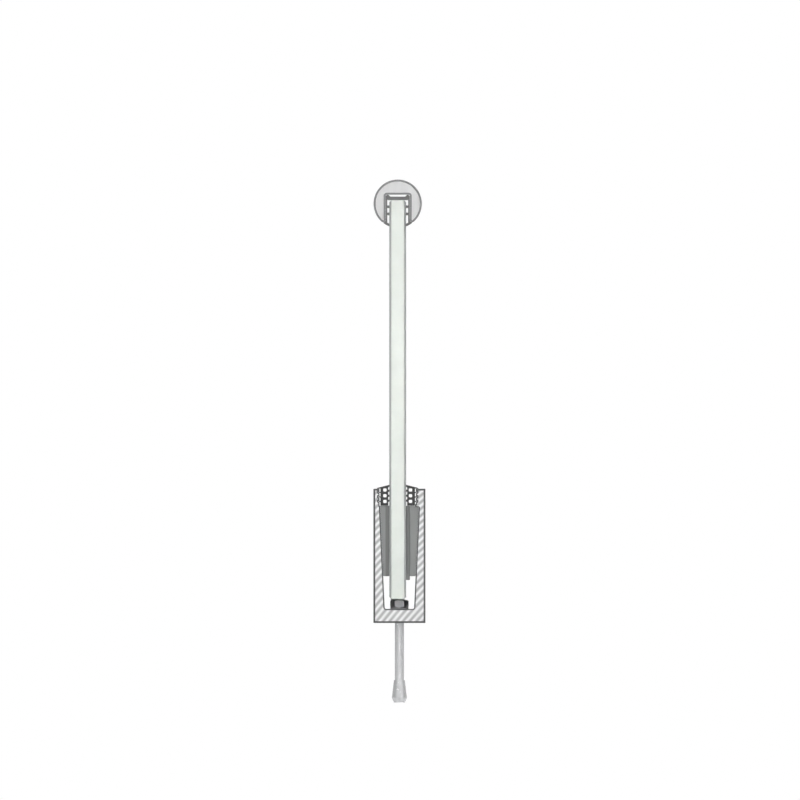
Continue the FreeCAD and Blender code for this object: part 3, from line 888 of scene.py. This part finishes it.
@dataclass
class Rail:
    """The slotted handrail tube, its end plugs and its rubber channel.

    Attributes:
        centre: The tube's axis, as (across, up).
        radius: The tube's outer radius.
        wall: Its wall.
        slot_half: Half the slot's width.
        slot_roof: The slot's roof above the axis.
        mouth_radius: The radius of the bends at the slot's mouth.
        half_run: Half the run.
        glass_half: Half the glass's thickness.
        seat: The glass's top edge above the axis.
        gap: The gap that stands for pressed contact.
        plug_length: How long each end plug is.
        plug_inset: How far a plug lies in from the tube's end.
    """

    centre: Pair = (-1.7, 419.3)
    radius: float = 24.15
    wall: float = 2.0
    slot_half: float = 12.0
    slot_roof: float = 9.0
    mouth_radius: float = 2.5
    half_run: float = 300.0
    glass_half: float = 8.38
    seat: float = 3.5
    gap: float = 0.1
    plug_length: float = 15.0
    plug_inset: float = 0.6

    def mouth(self) -> Pair:
        """The centre of the right bend: it touches the slot's side and the tube's circle."""
        across = self.slot_half + self.mouth_radius
        return across, -math.sqrt((self.radius - self.mouth_radius) ** 2 - across**2)

    def tube_outline(self, depth: float) -> Outline:
        """The tube's surface at a depth below the outside, as an arc with a slot folded into it.

        Args:
            depth: 0 for the outside, the wall for the hollow.

        Returns:
            An outline about the tube's axis.
        """
        across, drop = self.mouth()
        tilt = math.degrees(math.atan2(drop, across))
        side, roof, bend = self.slot_half + depth, self.slot_roof + depth, self.mouth_radius - depth
        corner = 1.0 + depth
        right_leg = arc((across, drop), bend, 180, 360 + tilt, 10)
        ring = arc((0, 0), self.radius - depth, tilt, 180 - tilt, 150)
        left_leg = arc((-across, drop), bend, 180 - tilt, 360, 10)
        left_corner = arc((corner - side, roof - corner), corner, 180, 90, 7)
        right_corner = arc((side - corner, roof - corner), corner, 90, 0, 7)
        loop = tidy(np.concatenate([right_leg, ring, left_leg, left_corner, right_corner]))
        return Outline(loop, np.zeros(len(loop)))

    def tube(self) -> bpy.types.Object:
        """The tube, with its sawn ends eased.

        Returns:
            The piece.
        """
        section = Section(self.tube_outline(0.0), [self.tube_outline(self.wall)]).moved(*self.centre)
        points, faces = extruded(section, -self.half_run, self.half_run, 0.35)
        return make_piece("handrail_tube_shell", points, faces)

    def plug(self, number: int, near: float) -> bpy.types.Object:
        """A plug in the tube's hollow.

        Args:
            number: The plug's number.
            near: Y of its near end.

        Returns:
            The piece.
        """
        section = Section(self.tube_outline(self.wall + self.gap)).moved(*self.centre)
        points, faces = extruded(section, near, near + self.plug_length, 0.2)
        return make_piece(f"rail_end_plug_{number}_moulding", points, faces)

    def gasket_half(self) -> tuple[np.ndarray, np.ndarray]:
        """The right half of the rubber channel's section.

        Its lip follows the tube's circle and the bend at the slot's mouth. The angle of a
        point of a circle at x is atan2(-sqrt(radius^2 - x^2), x).

        Returns:
            Its back from the lip up, and its face from the lip up.
        """
        across, drop = self.mouth()
        reach, thick, leg = 14.2, 2.5, self.slot_half - self.gap
        face = leg - 1.5
        seat, half = self.seat, self.glass_half
        outer = self.radius
        lip = self.mouth_radius + self.gap
        lip_end = drop - math.sqrt(lip**2 - (reach - across) ** 2)
        tilt = [math.degrees(math.atan2(-math.sqrt(outer**2 - x**2), x)) for x in (half, reach)]
        bend = [math.degrees(math.atan2(lip_end - drop, reach - across)) % 360, 180.0]
        top = self.slot_roof - self.gap
        back = np.concatenate([
            arc((0, 0), outer, tilt[0], tilt[1], 8),
            arc((across, drop), lip, bend[0], bend[1], 6),
            [(leg, top - 1.0), (leg - 1.0, top), (face - 1.0, top), (face - 3.0, seat + 3.6)],
        ])
        inner = outer - thick
        tilt = [math.degrees(math.atan2(-math.sqrt(inner**2 - x**2), x)) for x in (half, face)]
        teeth = [
            point
            for middle in (seat - 13.7, seat - 6.5)
            for point in (
                (face, middle - 1.2), (half, middle - 1.5), (half, middle + 1.5), (face, middle + 1.2),
            )
        ]
        front = np.concatenate([
            arc((0, 0), inner, tilt[0], tilt[1], 5), teeth, [(face, seat + 0.75), (face - 0.75, seat)],
        ])
        return back, front

    def gasket(self) -> bpy.types.Object:
        """The rubber channel between the slot and the glass edge.

        Returns:
            The piece.
        """
        back, front = self.gasket_half()
        loop = np.concatenate([back, mirrored(back), front * (-1, 1), front[::-1]])
        section = Section(Outline.softened(loop, 0.18)).moved(*self.centre)
        points, faces = extruded(section, -self.half_run, self.half_run, 0.12)
        return make_piece("rail_gasket_rubber", points, faces)

    def build(self, finishes: dict[Slot, bpy.types.Material]) -> None:
        """Make the rail's pieces and dress them.

        Args:
            finishes: The materials by slot.
        """
        tube = self.tube()
        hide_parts("handrail_tube")
        dress(tube, finishes[Slot.TUBE_STEEL])
        reach = self.half_run - self.plug_inset
        for number, near in ((1, -reach), (2, reach - self.plug_length)):
            plug = self.plug(number, near)
            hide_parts(f"rail_end_plug_{number}")
            dress(plug, finishes[Slot.PLUG_PLASTIC])
        gasket = self.gasket()
        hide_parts("rail_gasket")
        dress(gasket, finishes[Slot.RAIL_RUBBER])


@dataclass
class Pane:
    """The glass pane, with an arris ground round both of its faces.

    Attributes:
        node: The pane's node.
    """

    node: str = "glass_pane"

    def build(self, finishes: dict[Slot, bpy.types.Material]) -> None:
        """Keep the solid's own shape and dress it."""
        dress(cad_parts[self.node], finishes[Slot.GLASS])


@dataclass
class Shoe:
    """The base shoe and the two gaskets in its mouth.

    Attributes:
        half_width: Half the shoe's width.
        height: Its height.
        floor: The thickness of its floor.
        half_run: Half its length.
        left: X of the left gasket groove's wall.
        right: X of the right one's.
        seat: Z of the gaskets' seat.
        cavity: Half the cavity's width at the floor.
        taper: How much wider each side of it is at the seat.
        glass: X of the glass's two faces.
        hole_radius: The radius of the anchors' holes.
        ease: The width of the bevel eased with a file on the sawn ends.
        anchors: Y of the anchors.
    """

    half_width: float = 26.0
    height: float = 134.3
    floor: float = 14.1
    half_run: float = 300.0
    left: float = -19.88
    right: float = 16.48
    seat: float = 117.4
    cavity: float = 14.7
    taper: float = 4.7
    glass: Pair = (-10.08, 6.68)
    hole_radius: float = 5.5
    ease: float = 1.3
    anchors: tuple[float, ...] = (-200.0, 0.0, 200.0)

    def cavity_half(self, up: float) -> float:
        """Half the cavity's width at a height: it opens evenly from the floor to the seat."""
        return self.cavity + self.taper * (up - self.floor) / (self.seat - self.floor)

    def serrations(self, wall: float, side: int) -> np.ndarray:
        """The corners of three serrations in one wall of the mouth, from the lowest up.

        Args:
            wall: X of the wall.
            side: The sign of the side that they are cut into.

        Returns:
            An array of (across, up).
        """
        middle = self.seat + 3.7 + 4.55 * np.arange(3)[:, None]
        across = np.array([wall, wall + 1.3 * side, wall + 1.3 * side, wall])
        up = middle + np.array([-0.44, 0.25, 1.05, 1.05])
        return np.stack([np.broadcast_to(across, up.shape), up], 2).reshape(-1, 2)

    def section(self) -> Section:
        """The extrusion's section: a tapered cavity under a serrated mouth, with one ledge.

        Returns:
            The section.
        """
        ledge_top, ledge_bottom, ledge = self.seat + 1.6, self.seat - 1.9, self.right - 0.8
        corners = np.concatenate([
            [
                (-self.half_width, 0.0), (self.half_width, 0.0),
                (self.half_width, self.height), (self.right, self.height),
            ],
            self.serrations(self.right, 1)[::-1],
            [
                (self.right, ledge_top), (ledge, ledge_top), (ledge, ledge_bottom),
                (self.cavity_half(ledge_bottom), ledge_bottom),
                (self.cavity, self.floor), (-self.cavity, self.floor),
                (-self.cavity_half(self.seat), self.seat), (self.left, self.seat),
            ],
            self.serrations(self.left, -1),
            [(self.left, self.height), (-self.half_width, self.height)],
        ])
        radii = np.full(len(corners), 0.15)
        radii[[0, 1, 2, -1]] = 0.6
        radii[np.isclose(corners[:, 1], self.floor)] = 1.5
        return Section(Outline(corners, radii))

    def profile(self) -> bpy.types.Object:
        """The shoe, with its sawn ends eased and the anchors' holes cut through its floor.

        Returns:
            The piece.
        """
        points, faces = extruded(self.section(), -self.half_run, self.half_run, self.ease)
        shoe = make_piece("base_shoe_profile", points, faces)
        self.cut_holes(shoe)
        return shoe

    def cut_holes(self, shoe: bpy.types.Object) -> None:
        """Cut a round hole for each anchor, with an applied Boolean.

        Args:
            shoe: The shoe.
        """
        past = 5.0
        side = np.array([(self.hole_radius, -past), (self.hole_radius, self.floor + past)])
        for along in self.anchors:
            points, faces = turned_plug(side, (0.0, along, 0.0), 48)
            mesh = bpy.data.meshes.new("hole_cutter")
            mesh.from_pydata(np.asarray(points) * MILLIMETRE, [], faces)
            cutter = bpy.data.objects.new("hole_cutter", mesh)
            bpy.context.scene.collection.objects.link(cutter)
            cut = shoe.modifiers.new("anchor_hole", "BOOLEAN")
            cut.operation, cut.solver, cut.object = "DIFFERENCE", "EXACT", cutter
            bpy.context.view_layer.update()
            evaluated = shoe.evaluated_get(bpy.context.evaluated_depsgraph_get())
            made = bpy.data.meshes.new_from_object(evaluated)
            shoe.modifiers.clear()
            shoe.data = made
            bpy.data.objects.remove(cutter)
        shoe.data.shade_smooth()
        shoe.data.set_sharp_from_angle(angle=math.radians(SHARP_ANGLE))

    def gasket_section(self, side: Side) -> Section:
        """A hollow gasket: lips on the glass, three chambers, and barbs in the serrations.

        Args:
            side: Which side of the glass it is on.

        Returns:
            The section, drawn from the glass outwards and then turned to its side.
        """
        back, crown = 8.9, 16.9
        lips = [
            point
            for middle in (14.8, 9.85, 4.9)
            for point in (
                (1.1, middle + 1.25), (0.0, middle + 0.9), (0.0, middle - 0.9), (1.1, middle - 1.25),
            )
        ]
        barbs = [
            point
            for middle in (3.7, 8.25, 12.8)
            for point in (
                (back, middle - 0.39), (11.0, middle + 0.35), (11.0, middle + 0.95), (back, middle + 0.95),
            )
        ]
        outline = np.array([
            (1.1, 0.0), (back, 0.0), *barbs, (back, crown + 0.1), (12.2, crown + 0.1),
            (12.2, crown + 0.8), (0.0, crown + 3.9), (0.0, crown + 2.1), (1.1, crown + 1.1), *lips,
        ])
        face = self.glass[0] if side is Side.OUTER else self.glass[1]
        turn = np.array([side.value, 1.0])
        chamber = np.array([(2.7, 0.0), (6.1, 0.0), (6.1, 3.2), (2.7, 3.2)])
        holes = [
            Outline((chamber + (0.0, low)) * turn, np.full(4, 1.0), 7) for low in (2.6, 8.3, 14.0)
        ]
        return Section(Outline.softened(outline * turn, 0.2), holes).moved(face, self.seat)

    def gasket(self, side: Side) -> bpy.types.Object:
        """One of the two gaskets in the shoe's mouth."""
        points, faces = extruded(self.gasket_section(side), -self.half_run, self.half_run, 0.12)
        name = f"{side.name.lower()}_top_gasket_rubber"
        return make_piece(name, points, faces)

    def build(self, finishes: dict[Slot, bpy.types.Material]) -> None:
        """Make the shoe and its gaskets and dress them.

        Args:
            finishes: The materials by slot.
        """
        shoe = self.profile()
        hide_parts("base_shoe")
        dress(shoe, finishes[Slot.SHOE_ALUMINIUM])
        for side in Side:
            gasket = self.gasket(side)
            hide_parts(f"{side.name.lower()}_top_gasket")
            dress(gasket, finishes[Slot.GASKET_RUBBER])


def turned_plug(side: np.ndarray, centre: tuple[float, float, float], sides: int) -> tuple[np.ndarray, list]:
    """A closed solid of revolution from its side's (radius, height) points, with flat ends.

    The point at step t and angle a is the centre plus (radius(t) * cos a, radius(t) * sin a,
    height(t)), and one face closes each end.

    Args:
        side: Points from the foot to the top.
        centre: A point on the axis.
        sides: How many steps round the axis.

    Returns:
        The points and the faces.
    """
    angle = np.linspace(0, 2 * math.pi, sides, endpoint=False)
    radius, height = side[:, 0][:, None], side[:, 1][:, None]
    rings = np.stack([radius * np.cos(angle), radius * np.sin(angle), height + 0 * angle], 2)
    rings += np.array(centre)
    number = np.arange(len(side) * sides).reshape(len(side), sides)
    ahead = np.roll(number, -1, 1)
    walls = np.stack([number[:-1], ahead[:-1], ahead[1:], number[1:]], 2).reshape(-1, 4).tolist()
    return rings.reshape(-1, 3), walls + [number[0, ::-1].tolist(), number[-1].tolist()]


@dataclass
class Clamps:
    """The inserts, pads and wedges that hold the glass, and the blocks it stands on.

    Attributes:
        glass: X of the glass's two faces.
        bottom: Z of the inserts' and wedges' feet.
        top: Z of their tops.
        pad: The pad's thickness.
        tail: How far the pad reaches below the wedge.
        length: How long each set is.
        places: The sets' middles along the run.
        block_places: The setting blocks' middles.
        block: Their section: X from and to, then Z from and to.
        block_length: How long they are.
        reach: How far a clamp reaches from the shoe's middle at the shoe's floor.
        taper: How much further it reaches over the rise.
        floor: Z of the shoe's floor.
        rise: The height of the shoe's taper.
        ledge: The corner that the wedge leaves for the shoe's ledge, as (across, up).
    """

    glass: Pair = (-10.08, 6.68)
    bottom: float = 46.8
    top: float = 117.3
    pad: float = 3.8
    tail: float = 3.8
    length: float = 96.0
    places: tuple[float, ...] = (-250.0, 0.0, 250.0)
    block_places: tuple[float, ...] = (-100.0, 100.0)
    block: tuple[float, float, float, float] = (-8.7, 5.3, 14.1, 24.0)
    block_length: float = 100.0
    reach: float = 14.6
    taper: float = 4.7
    floor: float = 14.1
    rise: float = 103.3
    ledge: Pair = (15.58, 115.4)

    def wall(self, up: float) -> float:
        """How far the insert or wedge reaches from the shoe's middle at a height."""
        return self.reach + self.taper * (up - self.floor) / self.rise

    def sections(self) -> dict[str, np.ndarray]:
        """The corners of each clamp's section.

        Returns:
            An array of (across, up) for each node's name without its number.
        """
        left, right = self.glass
        seam = right + self.pad
        foot, top, tail = self.bottom, self.top, self.bottom - self.tail
        across, up = self.ledge
        return {
            "fixed_insert": np.array([
                (left, foot), (left, top), (-self.wall(top), top), (-self.wall(foot), foot),
            ]),
            "glass_pad": np.array([(right, tail), (seam, tail), (seam, top), (right, top)]),
            "clamp_wedge": np.array([
                (seam, foot), (self.wall(foot), foot), (self.wall(up + 0.1), up),
                (across, up), (across, top), (seam, top),
            ]),
        }

    def moulding(
        self, node: str, corners: np.ndarray, middle: float, length: float
    ) -> bpy.types.Object:
        """A moulded block with eased edges and ends, in place of its node.

        Args:
            node: The node that it replaces.
            corners: Its section's corners.
            middle: Y of its middle.
            length: How long it is.

        Returns:
            The piece.
        """
        section = Section(Outline(corners, np.full(len(corners), 0.5), 4))
        points, faces = extruded(section, middle - length / 2, middle + length / 2, 0.6)
        piece = make_piece(f"{node}_moulding", points, faces)
        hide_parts(node)
        return piece

    def build(self, finishes: dict[Slot, bpy.types.Material]) -> None:
        """Make the clamps and blocks and dress them.

        Args:
            finishes: The materials by slot.
        """
        for number, middle in enumerate(self.places, start=1):
            for name, corners in self.sections().items():
                node, slot = f"{name}_{number}", Slot.CLAMP_PLASTIC
                dress(self.moulding(node, corners, middle, self.length), finishes[slot])
        left, right, low, high = self.block
        corners = np.array([(left, low), (right, low), (right, high), (left, high)])
        for number, middle in enumerate(self.block_places, start=1):
            node, slot = f"setting_block_{number}", Slot.BLOCK_PLASTIC
            dress(self.moulding(node, corners, middle, self.block_length), finishes[slot])


@dataclass
class Anchors:
    """The hexagon bolts, washers, sleeves and cone nuts.

    Attributes:
        count: How many anchors there are.
    """

    count: int = 3

    def build(self, finishes: dict[Slot, bpy.types.Material]) -> None:
        """Dress the anchors' solids.

        Args:
            finishes: The materials by slot.
        """
        for number in range(1, self.count + 1):
            for name in ("anchor_bolt", "anchor_washer", "expansion_sleeve", "cone_nut"):
                dress(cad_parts[f"{name}_{number}"], finishes[Slot.ANCHOR_STEEL])


def dress(piece: bpy.types.Object, finish: bpy.types.Material) -> None:
    """Give a piece one material through its material slots.

    Args:
        piece: A new piece, or a solid that keeps its own shape.
        finish: The material.
    """
    if not piece.material_slots:
        piece.data.materials.append(finish)
    for holder in piece.material_slots:
        holder.material = finish
    LOG.info("%s: %d faces, %s", piece.name, len(piece.data.polygons), finish.name)


@dataclass
class Studio:
    """The floor, lights, world and camera.

    Attributes:
        floor: Z of the floor, in metres.
        reach: How far the floor goes from the middle, in metres.
        middle: What the camera looks at, in metres.
        width: The width of the camera's view, in metres.
        soft: The world's strength as light.
        dimmed: How much of its white gloss loses sideways.
        beam: The shuttered lamp's spread, in degrees.
    """

    floor: float = -0.0797
    reach: float = 4.0
    middle: tuple[float, float, float] = (0.0006, 0.0, 0.223)
    width: float = 0.8
    soft: float = 0.4
    dimmed: float = 0.72
    beam: float = 24.0

    def build(self) -> None:
        """Set up everything round the object."""
        self.lay_floor()
        self.light()
        self.surround()
        self.set_camera()
        bpy.context.scene.view_settings.view_transform = "Standard"

    def lay_floor(self) -> None:
        """A large pale plane under the anchors' feet."""
        mesh = bpy.data.meshes.new("floor")
        corners = np.array([(-1, -1), (1, -1), (1, 1), (-1, 1)]) * self.reach
        mesh.from_pydata(np.insert(corners, 2, self.floor, axis=1), [], [(0, 1, 2, 3)])
        plane = bpy.data.objects.new("floor", mesh)
        bpy.context.scene.collection.objects.link(plane)
        mesh.materials.append(PaleFloor("pale_floor", (0.86, 0.86, 0.86)).material())

    def lamp(
        self, name: str, place: tuple[float, float, float], size: float, power: float,
        shuttered: bool = False,
    ) -> None:
        """A square soft lamp that faces the object.

        Args:
            name: The lamp's name.
            place: Where it hangs, in metres.
            size: The length of its side, in metres.
            power: Its power, in watts.
            shuttered: Whether its light stays in a narrow beam and out of gloss.
        """
        data = bpy.data.lights.new(name, "AREA")
        data.size, data.energy = size, power
        data.spread = math.radians(self.beam if shuttered else 180.0)
        lamp = bpy.data.objects.new(name, data)
        lamp.location = place
        lamp.visible_glossy = not shuttered
        aim = Vector(self.middle) - Vector(place)
        lamp.rotation_euler = aim.to_track_quat("-Z", "Y").to_euler()
        bpy.context.scene.collection.objects.link(lamp)

    def light(self) -> None:
        """A lamp along the run, one at the upper left, a weaker one at the right and one behind."""
        self.lamp("front", (0.0, -6.0, 0.3), 0.5, 2.2, shuttered=True)
        self.lamp("key", (-1.5, -2.0, 2.1), 1.6, 14.0)
        self.lamp("fill", (2.0, -1.6, 1.2), 1.6, 9.0)
        self.lamp("rim", (0.6, 2.4, 1.8), 1.6, 16.0)

    def surround(self) -> None:
        """White where the camera or glass sees it, darker at the sides where gloss sees it, and softer as
        light.

        The gloss's strength falls with how far a direction points along X.
        """
        world = bpy.data.worlds.new("studio")
        bpy.context.scene.world = world
        world.use_nodes = True
        graph = Graph(world.node_tree)
        direction = graph.node("ShaderNodeTexCoord").out("Generated")
        sideways = abs(graph.part(direction, "X"))
        tone = 1.0 - sideways.above(0.62, 0.5) * graph.ray("Glossy") * self.dimmed
        white = (1.0, 1.0, 1.0, 1.0)
        soft = graph.node("ShaderNodeBackground", {}, {"Color": white, "Strength": self.soft}).out()
        shown = graph.node("ShaderNodeBackground", {}, {"Color": white, "Strength": tone}).out()
        mixed = graph.node("ShaderNodeMixShader", {}, {0: graph.seen(), 1: soft, 2: shown}).out()
        graph.node("ShaderNodeOutputWorld", {}, {"Surface": mixed})

    def set_camera(self) -> None:
        """A parallel view along the run, framed as the section drawing is."""
        data = bpy.data.cameras.new("camera")
        data.type = "ORTHO"
        data.ortho_scale = self.width
        data.clip_end = 20.0
        camera = bpy.data.objects.new("camera", data)
        camera.location = (self.middle[0], -2.5, self.middle[2])
        camera.rotation_euler = (math.radians(90), 0.0, 0.0)
        bpy.context.scene.collection.objects.link(camera)
        bpy.context.scene.camera = camera


def finishes() -> dict[Slot, bpy.types.Material]:
    """Build the material of every finish.

    Returns:
        The materials by the slot that they stand for.
    """
    chosen = {
        Slot.TUBE_STEEL: BrushedTube("brushed_stainless_steel", (0.5, 0.505, 0.51)),
        Slot.PLUG_PLASTIC: MouldedPlastic("light_grey_plastic", (0.71, 0.71, 0.71)),
        Slot.RAIL_RUBBER: ExtrudedRubber("rail_rubber", (0.17, 0.172, 0.17)),
        Slot.GLASS: PaneGlass("tinted_glass", (0.83, 0.905, 0.845)),
        Slot.SHOE_ALUMINIUM: SawnAluminium("anodised_aluminium", (0.6, 0.61, 0.62)),
        Slot.GASKET_RUBBER: ExtrudedRubber("gasket_rubber", (0.055, 0.056, 0.055)),
        Slot.CLAMP_PLASTIC: MouldedPlastic(
            "clamp_plastic", (0.265, 0.271, 0.267), soft=0.66, soft_reach=0.01218,
        ),
        Slot.BLOCK_PLASTIC: MouldedPlastic("block_plastic", (0.76, 0.77, 0.765)),
        Slot.ANCHOR_STEEL: ZincPlate("bright_zinc", (0.74, 0.745, 0.755)),
    }
    return {slot: finish.material() for slot, finish in chosen.items()}


def main() -> None:
    """Build the sub-assemblies in order, then the studio round them."""
    logging.basicConfig(level=logging.INFO, format="%(message)s")
    materials = finishes()
    for assembly in (Rail(), Pane(), Shoe(), Clamps(), Anchors()):
        LOG.info("building %s", type(assembly).__name__)
        assembly.build(materials)
    Studio().build()


if __name__ == "__main__":
    main()
